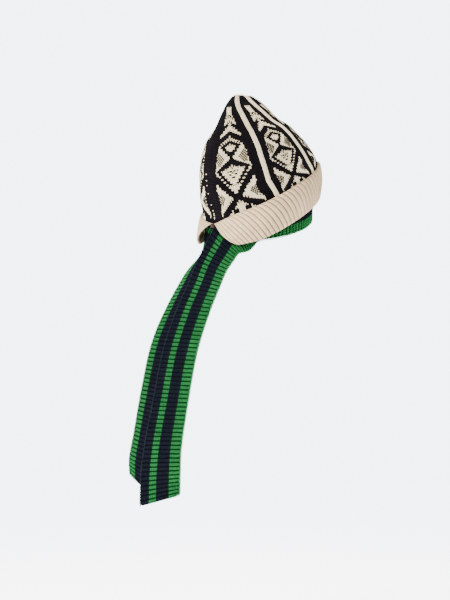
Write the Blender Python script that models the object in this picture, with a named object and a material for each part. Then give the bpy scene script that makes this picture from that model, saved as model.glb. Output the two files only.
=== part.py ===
"""Pointed knitted hat: a six-gore crown, a split ribbed cuff and one long striped scarf band.

Metres, +Z up. The origin is the centre of the head opening, the wearer's side to side is X, and
the split, which is worn at the nape, faces -Y. The opening slopes down towards the split.
"""

import math

import bmesh
import bpy
import numpy as np

# Crown
BAND_WIDTH = 0.1732  # outside the crown's hem, side to side
BAND_LENGTH = 0.2040  # outside the crown's hem, from the split to the forehead
CROWN_HEIGHT = 0.1995  # middle of the opening up to the tip
TIP_LEAN = 0.0360  # the tip leans this far over the split
CROWN_WALL = 0.0025  # double jacquard knit
TIP_WALL = 0.0040  # where the gores are gathered
RIM_TILT = math.radians(27.9)
GORES = 6
SEAM_CREASE = 0.0016  # how far each seam pulls in
HEM_OVERLAP = 0.0090  # the hem runs this far down inside the cuff
HEM_AT_SPLIT = 0.0010  # and only this far at the split, where the scarf passes below it
HEM_RISE_ANGLE = math.radians(30.0)

# Cuff
CUFF_HEIGHT = 0.0540
CUFF_WALL = 0.0050  # rib knit, folded double
CUFF_RIBS = 60
CUFF_RIB_DEPTH = 0.0013
CUFF_BULGE = 0.0035  # the fold stands off the crown at half height
SPLIT_HALF_ANGLE = math.radians(35.0)  # where each end of the cuff stops at its lower edge
SPLIT_TUCK = 0.0110  # the two ends are drawn in where they are tacked together
TUCK_ANGLE = math.radians(22.0)  # either side of the split
TUCK_FADE = 0.0270  # and this far up the crown
SPLIT_CURVE = 0.6  # below 1 the split opens faster near the tack
SPLIT_DIP = 0.0040  # and pulled down by this much
TACK_GAP = 0.0012  # between the two ends at the tack
CORNER_LIFT = 0.0080  # the lower corners of the ends are rounded up
CORNER_FLARE = 0.0020  # and stand out over the scarf
CORNER_ANGLE = math.radians(20.0)  # this far along the cuff

# Scarf band
SCARF_WIDTH = 0.0700
SCARF_WALL = 0.0030
SCARF_RIB_PITCH = 0.0065
SCARF_RIB_DEPTH = 0.0007
TAIL_DROP = 0.4317  # the near tail's inner edge, from the split down
TAIL_REACH = 0.1240  # how far the tails drape outwards
FAR_TAIL_SHARE = 0.963  # the far tail hangs a little higher
TAIL_OVERLAP = 0.0080  # each inner edge crosses the middle by this much
TAIL_STANDOFF = 0.0110  # the far tail lies about this far behind the near one
TAIL_CORNER = 0.0049  # the corners at the free ends are rounded by this much
EDGE_THIN = 0.7  # knitted edges are this share of the wall

CLEARANCE = 0.0004  # between knitted layers that touch
SCARF_EASE = 0.0028  # the scarf lies this loosely inside the crown

CROWN_COLUMNS_PER_GORE = 8
CROWN_ROWS = (0.0, 0.08, 0.18, 0.29, 0.40, 0.51, 0.62, 0.72, 0.81, 0.89, 0.95, 0.985, 1.0)
CUFF_COLUMNS_PER_RIB = 3
SCARF_COLUMNS = 3
CURVE_PIECES = 12  # between two rows of a route
MIN_RADIUS = 0.002
SHARP_EDGE = math.radians(40.0)

# Crown sections: centre height as a share of CROWN_HEIGHT, lean of TIP_LEAN, tilt of RIM_TILT,
# half width of BAND_WIDTH and half length of BAND_LENGTH.
CROWN_SECTIONS = {
    "up": (0.20, 0.27, 0.37, 0.49, 0.60, 0.70, 0.78, 0.87, 0.94, 0.985, 1.0),
    "lean": (0.0, 0.0, 0.13, 0.31, 0.50, 0.61, 0.66, 0.75, 0.84, 0.91, 1.0),
    "tilt": (1.0, 0.97, 0.86, 0.72, 0.61, 0.50, 0.39, 0.29, 0.18, 0.10, 0.0),
    "width": (1.0, 1.0, 1.015, 0.955, 0.865, 0.740, 0.565, 0.420, 0.290, 0.175, 0.090),
    "length": (1.0, 0.99, 0.945, 0.865, 0.765, 0.645, 0.485, 0.355, 0.245, 0.147, 0.080),
}

# Scarf inside the hat: angle from the split, how far the navy edge is above the opening as a
# share of SCARF_WIDTH, and how far each rib leans inwards on its way down, in degrees.
BAND_ROUTE = {
    "angle": (60.0, 75.0, 90.0, 105.0, 120.0, 150.0, 180.0),
    "navy_up": (0.93, 0.86, 0.77, 0.69, 0.62, 0.55, 0.54),
    "lean": (0.0, 0.5, 1.0, 1.5, 1.5, 1.5, 1.5),
}

# Scarf turning out through the split: the navy edge is still inside the hat, each rib points from
# it to the green edge by a turn from +X and a dip, in degrees, and is gathered to a share of
# SCARF_WIDTH.
TURN_ROUTE = {
    "angle": (40.0, 20.0),
    "navy_up": (0.89, 0.72),
    "turn": (29.0, 15.0),
    "dip": (-73.5, -50.5),
    "width": (1.0, 0.93),
}

# Tails: shares of TAIL_DROP, TAIL_REACH, TAIL_OVERLAP and TAIL_STANDOFF for the navy edge, then
# each tail's turn and dip, in degrees.
TAIL_ROUTE = {
    "drop": (0.02, 0.07, 0.14, 0.22, 0.31, 0.45, 0.63, 0.80, 0.90, 1.00),
    "reach": (-0.01, 0.08, 0.205, 0.32, 0.475, 0.665, 0.81, 0.94, 0.985, 1.00),
    "near_overlap": (-0.45, 0.0, 0.5, 0.8, 1.0, 1.0, 1.0, 1.0, 1.0, 1.0),
    "far_overlap": (-0.45, 0.0, 0.5, 0.8, 1.0, 1.0, 1.0, 0.9, 0.8, 0.6),
    "near_behind": (0.0,) * 10,
    "far_behind": (0.25, 0.55, 0.8, 0.9, 1.0, 1.0, 1.05, 1.1, 1.15, 1.2),
    "near_turn": (8.0, 8.0, 8.5, 10.0, 14.0, 17.0, 19.0, 24.0, 29.0, 35.0),
    "far_turn": (6.0, 4.0, 3.0, 1.0, 0.0, -2.0, -3.0, -1.0, -3.0, -3.0),
    "near_dip": (-36.0, -24.0, -14.0, -7.0, -3.0, 0.0, 2.0, 4.0, 7.0, 17.0),
    "far_dip": (-36.0, -28.0, -17.0, -9.0, -4.0, 0.0, 2.0, 4.0, 9.0, 22.0),
}

# Cuff section: share of CUFF_HEIGHT up, and share of CUFF_WALL out, round the closed outline.
CUFF_OUTLINE = {
    "up": (0.0, 0.05, 0.30, 0.62, 0.90, 1.0, 0.95, 0.50, 0.05),
    "out": (0.5, 0.92, 1.0, 1.0, 0.95, 0.5, 0.0, 0.0, 0.0),
}


def clear_scene():
    for item in list(bpy.data.objects):
        bpy.data.objects.remove(item, do_unlink=True)


def curve_value(shares, values, at):
    """A smooth curve through a table's points that never swings past them."""
    x, y = np.asarray(shares, float), np.asarray(values, float)
    at = min(max(at, x[0]), x[-1])
    step = np.diff(x)
    slope = np.diff(y) / step
    flat = slope[:-1] * slope[1:] <= 0
    mean = 2 * slope[:-1] * slope[1:] / np.where(flat, 1.0, slope[:-1] + slope[1:])
    tangent = np.concatenate([slope[:1], np.where(flat, 0.0, mean), slope[-1:]])
    i = int(np.clip(np.searchsorted(x, at) - 1, 0, len(step) - 1))
    s = (at - x[i]) / step[i]
    ahead, back = s * s * (3 - 2 * s), s * (1 - s)
    bend = back * ((1 - s) * tangent[i] - s * tangent[i + 1]) * step[i]
    return float(y[i] * (1 - ahead) + y[i + 1] * ahead + bend)


def bell(value, half_width):
    return math.exp(-((value / half_width) ** 2))


def from_split(angle):
    """The angle from the split, from -pi to pi."""
    return math.remainder(angle, math.tau)


def tuck(angle, up):
    """How far the knit is drawn in towards the tack, at a height above the opening."""
    above = max(0.0, up - CUFF_HEIGHT)
    below = min(1.0, max(0.0, up) / CUFF_HEIGHT)
    return SPLIT_TUCK * bell(from_split(angle), TUCK_ANGLE) * bell(above, TUCK_FADE) * below


def cuff_top(angle):
    """The cuff's upper edge above the opening, pulled down at the tack."""
    return CUFF_HEIGHT - SPLIT_DIP * bell(from_split(angle), TUCK_ANGLE)


def hem_height(angle):
    """The crown's hem above the opening, tucked inside the cuff."""
    at_split = bell(from_split(angle), HEM_RISE_ANGLE)
    return cuff_top(angle) - HEM_OVERLAP - (HEM_AT_SPLIT - HEM_OVERLAP) * at_split


def seam_crease(angle):
    return SEAM_CREASE * (1 - abs(math.sin(GORES * angle / 2)) ** 0.6)


def layer_point(up, angle, out):
    """A point of the hat at a height above the opening, out from or in from the crown's face."""
    share = up / CROWN_HEIGHT
    row = {name: curve_value(CROWN_SECTIONS["up"], values, share) for name, values in CROWN_SECTIONS.items()}
    wide = max(BAND_WIDTH / 2 * row["width"] + out, MIN_RADIUS)
    long = max(BAND_LENGTH / 2 * row["length"] + out, MIN_RADIUS)
    tilt = RIM_TILT * row["tilt"]
    drawn_in = tuck(angle, up)
    back = long * math.cos(angle)
    return np.array(
        [
            (wide - drawn_in) * math.sin(angle),
            -TIP_LEAN * row["lean"] - back * math.cos(tilt) + drawn_in * math.cos(angle),
            up - back * math.sin(tilt),
        ]
    )


def crown_point(up, angle, inset=0.0):
    """A point on the crown's outer face, or inset from it, with its seams pulled in."""
    fullness = curve_value(CROWN_SECTIONS["up"], CROWN_SECTIONS["length"], up / CROWN_HEIGHT)
    return layer_point(up, angle, -inset - seam_crease(angle) * fullness)


def new_material(name, colour, roughness):
    material = bpy.data.materials.new(name)
    material.use_nodes = True
    shader = material.node_tree.nodes["Principled BSDF"]
    shader.inputs["Base Color"].default_value = (*colour, 1.0)
    shader.inputs["Roughness"].default_value = roughness
    shader.inputs["Metallic"].default_value = 0.0
    return material


def join_rings(mesh, rings):
    """Quads between each ring of points and the next."""
    verts = [[mesh.verts.new(point) for point in ring] for ring in rings]
    for here, ahead in zip(verts, verts[1:]):
        for j in range(len(here)):
            k = (j + 1) % len(here)
            mesh.faces.new((here[j], here[k], ahead[k], ahead[j]))
    return verts


def new_object(name, mesh, material):
    bmesh.ops.recalc_face_normals(mesh, faces=mesh.faces)
    bmesh.ops.triangulate(mesh, faces=mesh.faces)
    data = bpy.data.meshes.new(name)
    mesh.to_mesh(data)
    mesh.free()
    data.materials.append(material)
    data.shade_smooth()
    data.set_sharp_from_angle(angle=SHARP_EDGE)
    bpy.context.collection.objects.link(bpy.data.objects.new(name, data))


def new_strip(name, rings, material):
    """A closed solid through the rings of a knitted strip, with a flat cap at each end."""
    mesh = bmesh.new()
    verts = join_rings(mesh, rings)
    for ring in (verts[0], verts[-1]):
        half = len(ring) // 2
        for j in range(half - 1):
            mesh.faces.new((ring[j], ring[j + 1], ring[-j - 2], ring[-j - 1]))
        if len(ring) % 2:
            mesh.faces.new((ring[half - 1], ring[half], ring[half + 1]))
    new_object(name, mesh, material)


def make_crown(material):
    """The hollow cone of six gores, hemmed inside the cuff and closed at a small flat tip."""
    columns = GORES * CROWN_COLUMNS_PER_GORE
    angles = [math.tau * i / columns for i in range(columns)]

    def ring(share, top, inset):
        lows = [hem_height(angle) for angle in angles]
        return [crown_point(low + (top - low) * share, angle, inset) for low, angle in zip(lows, angles)]

    outer = [ring(share, CROWN_HEIGHT, 0.0) for share in reversed(CROWN_ROWS)]
    inner = [ring(share, CROWN_HEIGHT - TIP_WALL, CROWN_WALL) for share in CROWN_ROWS]
    mesh = bmesh.new()
    verts = join_rings(mesh, outer + inner)
    for ends in (verts[0], verts[-1]):
        middle = mesh.verts.new(sum((np.array(v.co) for v in ends), np.zeros(3)) / columns)
        for j in range(columns):
            mesh.faces.new((ends[j], ends[(j + 1) % columns], middle))
    new_object("crown", mesh, material)


def cuff_point(along, up_share, out_share, groove):
    """A point of the cuff: along it from one end to the other, up it, and out from the crown."""
    tack = TACK_GAP / BAND_WIDTH
    end = tack + (SPLIT_HALF_ANGLE - tack) * (1 - up_share) ** SPLIT_CURVE
    angle = end + (math.tau - 2 * end) * along
    beyond = abs(from_split(angle)) - end
    at_end = bell(beyond, CORNER_ANGLE) * (1 - up_share)
    stand_off = (
        CLEARANCE
        + CUFF_WALL * out_share
        - groove * CUFF_RIB_DEPTH * out_share
        + CUFF_BULGE * math.sin(math.pi * up_share)
        + CORNER_FLARE * at_end
    )
    return layer_point(cuff_top(angle) * up_share + CORNER_LIFT * at_end, angle, stand_off)


def make_cuff(material):
    """The folded rib-knit cuff, open in a V at the split and rounded at its two ends."""
    columns = CUFF_RIBS * CUFF_COLUMNS_PER_RIB
    rings = []
    for i in range(columns + 1):
        along = i / columns
        groove = 1.0 if i % CUFF_COLUMNS_PER_RIB == 0 else 0.0
        thin = EDGE_THIN if i in (0, columns) else 1.0
        rings.append(
            [
                cuff_point(along, up, 0.5 + (out - 0.5) * thin, groove)
                for up, out in zip(CUFF_OUTLINE["up"], CUFF_OUTLINE["out"])
            ]
        )
    new_strip("cuff", rings, material)


def rib_direction(turn, dip):
    """The way a rib points from the navy edge to the green edge."""
    turn, dip = math.radians(turn), math.radians(dip)
    level = math.cos(dip)
    return np.array([level * math.cos(turn), level * math.sin(turn), math.sin(dip)])


def inside_point(angle, up_share):
    """The navy edge where the scarf lies against the inside of the hat."""
    inset = CROWN_WALL + SCARF_EASE + CLEARANCE + SCARF_WALL / 2 + SCARF_RIB_DEPTH
    return layer_point(SCARF_WIDTH * up_share, math.radians(angle), -inset)


def tail_edges(side):
    """Both edges of one tail, from the split down. The near side is +1 and the far side -1."""
    name = "near" if side > 0 else "far"
    top = layer_point(CUFF_HEIGHT, 0.0, CUFF_WALL / 2)
    drop_all = TAIL_DROP * (1.0 if side > 0 else FAR_TAIL_SHARE)
    edges = []
    columns = ("drop", "reach", name + "_overlap", name + "_behind", name + "_turn", name + "_dip")
    for drop, reach, cross, behind, turn, dip in zip(*(TAIL_ROUTE[column] for column in columns)):
        forward = TAIL_REACH * reach - TAIL_STANDOFF * behind
        navy = top + np.array([-TAIL_OVERLAP * cross, -forward, -drop_all * drop])
        edges.append((navy, navy + SCARF_WIDTH * rib_direction(turn, dip)))
    return edges


def half_scarf(side):
    """Both edges from the middle of the forehead round to the end of one tail."""
    edges = []
    for angle, up, lean in reversed(list(zip(*BAND_ROUTE.values()))):
        navy = inside_point(angle, up)
        edges.append((navy, navy + SCARF_WIDTH * rib_direction(angle + 90.0, lean - 90.0)))
    for angle, up, turn, dip, width in zip(*TURN_ROUTE.values()):
        navy = inside_point(angle, up)
        edges.append((navy, navy + SCARF_WIDTH * width * rib_direction(turn, dip)))
    edges += tail_edges(side)
    mirror = np.array([side, 1.0, 1.0])
    return [(navy * mirror, green * mirror) for navy, green in edges]


def smooth_rows(rows):
    """Points along a smooth curve through all rows, each row being both edges in one vector."""
    rows = np.array([np.concatenate(row) for row in rows])
    gaps = np.linalg.norm(np.diff(rows, axis=0), axis=1) ** 0.5
    knots = np.concatenate([[0.0], np.cumsum(gaps)])
    slopes = np.gradient(rows, knots, axis=0)
    fine = []
    for i in range(len(rows) - 1):
        span = knots[i + 1] - knots[i]
        for s in np.linspace(0, 1, CURVE_PIECES, endpoint=False):
            ahead = s * s * (3 - 2 * s)
            bend = s * (1 - s) * ((1 - s) * slopes[i] - s * slopes[i + 1]) * span
            fine.append(rows[i] * (1 - ahead) + rows[i + 1] * ahead + bend)
    fine.append(rows[-1])
    return np.array(fine)


def scarf_stations():
    """Rib lines along the whole scarf, with the share of a full rib at each one."""
    near, far = half_scarf(1), half_scarf(-1)
    rows = smooth_rows(list(reversed(near)) + far[1:])
    middle = (rows[:, :3] + rows[:, 3:]) / 2
    run = np.concatenate([[0.0], np.cumsum(np.linalg.norm(np.diff(middle, axis=0), axis=1))])
    tail = run[(len(TAIL_ROUTE["drop"]) + 1) * CURVE_PIECES]
    places, ridges = [], []
    at = 0.0
    while at < run[-1] / 2:
        on_tail = at < tail
        places += [at] if not on_tail else [at, at + SCARF_RIB_PITCH / 2]
        ridges += [0.0] if not on_tail else [-1.0, 1.0]
        at += SCARF_RIB_PITCH if on_tail else SCARF_RIB_PITCH * 2
    places = places + [run[-1] - p for p in reversed(places)]
    ridges = ridges + list(reversed(ridges))
    lines = np.array([[np.interp(p, run, rows[:, k]) for k in range(6)] for p in places])
    return lines, ridges


def make_scarf(material):
    """The ribbed scarf band: inside the cuff all round, then out through the split as two tails."""
    lines, ridges = scarf_stations()
    middle = (lines[:, :3] + lines[:, 3:]) / 2
    along = np.gradient(middle, axis=0)
    rings = []
    last = len(lines) - 1
    for i, (line, ridge) in enumerate(zip(lines, ridges)):
        navy, green = line[:3], line[3:]
        across = green - navy
        normal = np.cross(across, along[i])
        normal /= np.linalg.norm(normal)
        from_end = min(i, last - i)
        pull = TAIL_CORNER / SCARF_WIDTH * {0: 1.0, 1: 0.3}.get(from_end, 0.0)
        half = SCARF_WALL / 2 + SCARF_RIB_DEPTH * ridge / 2
        half *= EDGE_THIN if from_end == 0 else 1.0
        front, back = [], []
        for j in range(SCARF_COLUMNS + 1):
            share = pull + (1 - 2 * pull) * j / SCARF_COLUMNS
            edge = EDGE_THIN if j in (0, SCARF_COLUMNS) else 1.0
            point = navy + across * share
            front.append(point + normal * half * edge)
            back.append(point - normal * half * edge)
        rings.append(front + back[::-1])
    new_strip("scarf_band", rings, material)


def main():
    clear_scene()
    make_crown(new_material("black_cream_jacquard", (0.24, 0.22, 0.20), 0.95))
    make_cuff(new_material("cream_rib", (0.72, 0.62, 0.51), 0.95))
    make_scarf(new_material("navy_green_rib", (0.02, 0.09, 0.06), 0.95))


main()
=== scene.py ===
# %% [markdown]
# A pointed wool hat, knitted in Blender
#
# The real hat has three knitted parts. The crown is a cone of six gores in double knit, cream
# figures on black, with a raised cream wale along each seam. Round its rim runs a cream rib cuff,
# folded double and open in a V at the nape. Inside the cuff lies one long scarf in navy and green
# stripes, and its two ends hang out through the V.
#
# Knitting is made of one small thing repeated many times: a loop that looks like a V. So the
# lesson models one V with Blender's mesh operators, and then lays it along the rows of each part,
# in the colour that the pattern asks for. Under the loops lies a thin smooth cloth.

# %% Load the frame
import math
import random

import bmesh
import bpy
import numpy as np
from mathutils import Matrix


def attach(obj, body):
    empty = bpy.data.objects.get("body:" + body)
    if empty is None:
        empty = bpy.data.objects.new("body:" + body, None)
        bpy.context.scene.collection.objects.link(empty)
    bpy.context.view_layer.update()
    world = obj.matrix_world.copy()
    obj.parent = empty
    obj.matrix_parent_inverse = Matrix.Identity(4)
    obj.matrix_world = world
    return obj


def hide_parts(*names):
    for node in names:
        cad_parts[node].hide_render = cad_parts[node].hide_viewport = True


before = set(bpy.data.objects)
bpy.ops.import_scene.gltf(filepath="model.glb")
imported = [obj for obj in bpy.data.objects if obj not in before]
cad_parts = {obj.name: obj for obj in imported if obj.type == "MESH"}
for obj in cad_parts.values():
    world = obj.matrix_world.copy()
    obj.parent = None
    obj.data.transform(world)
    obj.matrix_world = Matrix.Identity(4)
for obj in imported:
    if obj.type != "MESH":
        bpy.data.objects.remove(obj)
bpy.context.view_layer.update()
dice = random.Random(11)
print("solid parts:", sorted(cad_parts))

# %% [markdown]
# The camera comes first, because every later choice is compared with the photograph. It stands at
# the hat's right and a little behind, almost level with the rim. The lens is long, so the hat
# shows hardly any perspective. The camera is placed by three directions: to its right, up the
# picture, and from the hat towards it.

# %% Camera
AZIMUTH = math.radians(60.0)
ELEVATION = math.radians(2.0)
CAMERA_DISTANCE = 3.0
SENSOR = 36.0  # millimetres, the height of the upright picture
LENS = 116.13
AIM_RIGHT = -0.0535  # the picture's centre, from the middle of the head opening
AIM_UP = -0.1163

level = math.cos(ELEVATION)
towards = np.array([math.sin(AZIMUTH) * level, -math.cos(AZIMUTH) * level, math.sin(ELEVATION)])
rightwards = np.array([math.cos(AZIMUTH), math.sin(AZIMUTH), 0.0])
upwards = np.cross(towards, rightwards)


def stand_at(thing, directions, place):
    """Puts an object at a place, with its own X, Y and Z along three directions."""
    turn = np.column_stack(directions)
    thing.matrix_world = Matrix([[*turn[i], place[i]] for i in range(3)] + [[0, 0, 0, 1]])


def place_camera():
    bpy.ops.object.camera_add()
    camera = bpy.context.object
    place = rightwards * AIM_RIGHT + upwards * AIM_UP + towards * CAMERA_DISTANCE
    stand_at(camera, (rightwards, upwards, towards), place)
    camera.data.sensor_width = SENSOR
    camera.data.lens = LENS
    bpy.context.scene.camera = camera
    return camera


bpy.ops.object.select_all(action="DESELECT")
camera = place_camera()
print("camera at", [round(x, 3) for x in camera.matrix_world.translation])

# %% [markdown]
# The room is plain. The world shows the camera a pale backdrop, but lights the wool with a softer
# grey, so that its folds keep their shade. The floor lies below the tails and fades into the
# backdrop with distance from the hat, which hides its edge. Three large area lights stand in for
# soft boxes: a key high on the left, a weaker fill beside the camera, and one overhead. Node trees
# are built through one small class, whose inputs take either a value or another node's output.

# %% Backdrop, floor and lights
BACKDROP = (0.82, 0.90, 1.0)
BACKDROP_STRENGTH = 6.6
AMBIENT = (0.96, 0.97, 1.0)
AMBIENT_STRENGTH = 0.45
FLOOR_HEIGHT = -0.62
FLOOR_RADIUS = 1.7
FLOOR_GREY = (0.5, 0.5, 0.5)
FLOOR_GLOW = (0.86, 0.86, 0.86)
FADE_START = 0.2
FADE_END = FLOOR_RADIUS * 0.8


class Tree:
    """A shader node tree, with short ways to add to it."""

    def __init__(self, tree):
        self.nodes = tree.nodes
        self.links = tree.links

    def link(self, start, end):
        self.links.new(start, end)

    def add(self, kind, inputs=None, **settings):
        """A node with its settings. Each input gets a value, or a link from an output."""
        node = self.nodes.new("ShaderNode" + kind)
        for name, value in settings.items():
            setattr(node, name, value)
        for name, value in (inputs or {}).items():
            if isinstance(value, bpy.types.NodeSocket):
                self.link(value, node.inputs[name])
            else:
                node.inputs[name].default_value = value
        return node

    def math(self, operation, *values, clamp=False):
        node = self.add("Math", dict(enumerate(values)), operation=operation, use_clamp=clamp)
        return node.outputs[0]

    def mix(self, factor, first, second):
        """A colour between two constant ones."""
        inputs = {"A": (*first, 1.0), "B": (*second, 1.0), "Factor": factor}
        return self.add("Mix", inputs, data_type="RGBA").outputs["Result"]

    def ease(self, value, start, end):
        """From 0 to 1 as the value goes from start to end, with a soft beginning and end."""
        inputs = {"Value": value, "From Min": start, "From Max": end}
        return self.add("MapRange", inputs, interpolation_type="SMOOTHSTEP").outputs["Result"]


def make_world():
    world = bpy.data.worlds.new("studio")
    world.use_nodes = True
    world.node_tree.nodes.clear()
    tree = Tree(world.node_tree)
    seen = tree.add("Background", {"Color": (*BACKDROP, 1.0), "Strength": BACKDROP_STRENGTH})
    ambient = tree.add("Background", {"Color": (*AMBIENT, 1.0), "Strength": AMBIENT_STRENGTH})
    to_camera = tree.add("LightPath").outputs["Is Camera Ray"]
    mix = tree.add("MixShader", {0: to_camera, 1: ambient.outputs[0], 2: seen.outputs[0]})
    tree.add("OutputWorld", {"Surface": mix.outputs["Shader"]})
    bpy.context.scene.world = world


def make_floor():
    bpy.ops.mesh.primitive_circle_add(vertices=96, radius=FLOOR_RADIUS, fill_type="NGON")
    floor = bpy.context.object
    floor.name = "floor"
    for vert in floor.data.vertices:
        vert.co.z = FLOOR_HEIGHT
    material = bpy.data.materials.new("pale_floor")
    material.use_nodes = True
    tree = Tree(material.node_tree)
    shader = tree.nodes["Principled BSDF"].inputs
    shader["Roughness"].default_value = 1.0
    shader["Emission Strength"].default_value = BACKDROP_STRENGTH
    spot = tree.add("SeparateXYZ", {0: tree.add("TexCoord").outputs["Object"]}).outputs
    flat = tree.add("CombineXYZ", {"X": spot["X"], "Y": spot["Y"]}).outputs[0]
    run = tree.add("VectorMath", {0: flat}, operation="LENGTH").outputs["Value"]
    fade = tree.ease(run, FADE_START, FADE_END)
    tree.link(tree.mix(fade, FLOOR_GREY, (0, 0, 0)), shader["Base Color"])
    tree.link(tree.mix(fade, FLOOR_GLOW, BACKDROP), shader["Emission Color"])
    floor.data.materials.append(material)


def add_light(name, right, up, out, size, watts):
    """An area light placed in the camera's own directions, aimed at the hat."""
    bpy.ops.object.light_add(type="AREA")
    light = bpy.context.object
    light.name = name
    place = rightwards * right + upwards * up + towards * out
    away = place - upwards * 0.1
    away /= np.linalg.norm(away)
    side = np.cross([0.0, 0.0, 1.0], away)
    side /= np.linalg.norm(side)
    stand_at(light, (side, np.cross(away, side), away), place)
    light.data.size = size
    light.data.energy = watts


make_world()
make_floor()
add_light("key", -2.3, 1.5, 1.3, 1.0, 300.0)
add_light("fill", 0.3, 1.1, 2.6, 1.5, 95.0)
add_light("top", -0.3, 2.3, -0.6, 1.4, 55.0)
print("room: backdrop, floor and 3 soft lights")

# %% [markdown]
# The hat's form is the one its solid parts have. Sections at a few heights give the crown's lean,
# tilt and size, and a smooth curve runs through them. The same function answers for every layer:
# a height above the head opening, an angle from the split, and a distance out from the crown.

# %% The crown's form
BAND_WIDTH = 0.1732
BAND_LENGTH = 0.2040
CROWN_HEIGHT = 0.1995
TIP_LEAN = 0.0360
RIM_TILT = math.radians(27.9)
CUFF_HEIGHT = 0.0540
SPLIT_TUCK = 0.0110
TUCK_ANGLE = math.radians(22.0)
TUCK_FADE = 0.0270
SPLIT_DIP = 0.0040
CROWN_SECTIONS = {
    "up": (0.20, 0.27, 0.37, 0.49, 0.60, 0.70, 0.78, 0.87, 0.94, 0.985, 1.0),
    "lean": (0.0, 0.0, 0.13, 0.31, 0.50, 0.61, 0.66, 0.75, 0.84, 0.91, 1.0),
    "tilt": (1.0, 0.97, 0.86, 0.72, 0.61, 0.50, 0.39, 0.29, 0.18, 0.10, 0.0),
    "width": (1.0, 1.0, 1.015, 0.955, 0.865, 0.740, 0.565, 0.420, 0.290, 0.175, 0.090),
    "length": (1.0, 0.99, 0.945, 0.865, 0.765, 0.645, 0.485, 0.355, 0.245, 0.147, 0.080),
}


def curve_between(s, first, last, leave, arrive, span):
    """A cubic curve from first to last with a slope at either end, at the share s of its span."""
    ahead = s * s * (3 - 2 * s)
    bend = s * (1 - s) * ((1 - s) * leave - s * arrive) * span
    return first * (1 - ahead) + last * ahead + bend


def curve_value(shares, values, at):
    """A smooth curve through a table's points that never swings past them."""
    x, y = np.asarray(shares, float), np.asarray(values, float)
    at = min(max(at, x[0]), x[-1])
    step = np.diff(x)
    slope = np.diff(y) / step
    flat = slope[:-1] * slope[1:] <= 0
    mean = 2 * slope[:-1] * slope[1:] / np.where(flat, 1.0, slope[:-1] + slope[1:])
    tangent = np.concatenate([slope[:1], np.where(flat, 0.0, mean), slope[-1:]])
    i = int(np.clip(np.searchsorted(x, at) - 1, 0, len(step) - 1))
    s = (at - x[i]) / step[i]
    return float(curve_between(s, y[i], y[i + 1], tangent[i], tangent[i + 1], step[i]))


def bell(value, half_width):
    return np.exp(-((value / half_width) ** 2))


def from_split(angle):
    """The angle from the split, from -pi to pi."""
    return (angle + math.pi) % math.tau - math.pi


def cuff_top(angle):
    return CUFF_HEIGHT - SPLIT_DIP * bell(from_split(angle), TUCK_ANGLE)


def layer_points(up, angles, out):
    """Points of the hat at one height above the opening, out from the crown's face."""
    angles = np.asarray(angles, float)
    row = {name: curve_value(CROWN_SECTIONS["up"], values, up / CROWN_HEIGHT)
           for name, values in CROWN_SECTIONS.items()}
    wide = np.maximum(BAND_WIDTH / 2 * row["width"] + out, 0.002)
    long = np.maximum(BAND_LENGTH / 2 * row["length"] + out, 0.002)
    tilt = RIM_TILT * row["tilt"]
    above = max(0.0, up - CUFF_HEIGHT)
    below = min(1.0, max(0.0, up) / CUFF_HEIGHT)
    drawn_in = SPLIT_TUCK * bell(from_split(angles), TUCK_ANGLE) * bell(above, TUCK_FADE) * below
    back = long * np.cos(angles)
    x = (wide - drawn_in) * np.sin(angles)
    y = -TIP_LEAN * row["lean"] - back * math.cos(tilt) + drawn_in * np.cos(angles)
    return np.stack([x, y, up - back * math.sin(tilt)], axis=-1)


def layer_point(up, angle, out):
    return layer_points(up, np.array([angle]), out)[0]


print("tip at", [round(float(x), 3) for x in layer_point(CROWN_HEIGHT, 0.0, 0.0)])

# %% [markdown]
# One loop of knitting is two legs of yarn that lean together into a V. Each leg looks like a grain
# of rice: fat in the middle, with both ends tucked under its neighbours. A three-sided cylinder
# with pointed caps has that form and only twelve triangles, which matters when there are tens of
# thousands of them. The leg is leaned, copied to the other side and joined.

# %% One stitch
LEG_RADIUS = 0.27  # in stitch widths
LEG_LENGTH = 0.62  # between its two rings, in rows
LEG_TIP = 0.26  # each tip reaches this far past its ring
LEG_TIP_SINK = 0.16
LEG_LEAN = math.radians(20.0)
LEG_APART = 0.25
TIP_SHADE = 0.35  # painted shade: how light the colour of the tips and sides of a leg is, where its ridge is 1
SIDE_SHADE = 0.55


def add_leg(side):
    """One leg of the V. Its length runs along Y and its rounded ridge points along +Z."""
    bpy.ops.mesh.primitive_cylinder_add(
        vertices=3, radius=LEG_RADIUS, depth=LEG_LENGTH, end_fill_type="TRIFAN",
        rotation=(math.pi / 2, 0.0, 0.0))
    leg = bpy.context.object
    bpy.ops.object.transform_apply(location=False, rotation=True, scale=False)
    bpy.ops.object.mode_set(mode="EDIT")
    for end in (-1, 1):
        mesh = bmesh.from_edit_mesh(leg.data)
        for vert in mesh.verts:
            at_axis = abs(vert.co.x) < 1e-4 and abs(vert.co.z) < 1e-4
            vert.select_set(at_axis and vert.co.y * end > 0)
        mesh.select_flush_mode()
        bmesh.update_edit_mesh(leg.data)
        bpy.ops.transform.translate(value=(0.0, end * LEG_TIP, -LEG_TIP_SINK))
    bpy.ops.mesh.select_all(action="SELECT")
    bpy.ops.mesh.quads_convert_to_tris()
    bpy.ops.object.mode_set(mode="OBJECT")
    leg.rotation_euler.z = -side * LEG_LEAN
    leg.location.x = side * LEG_APART
    bpy.ops.object.transform_apply()
    return leg


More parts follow.
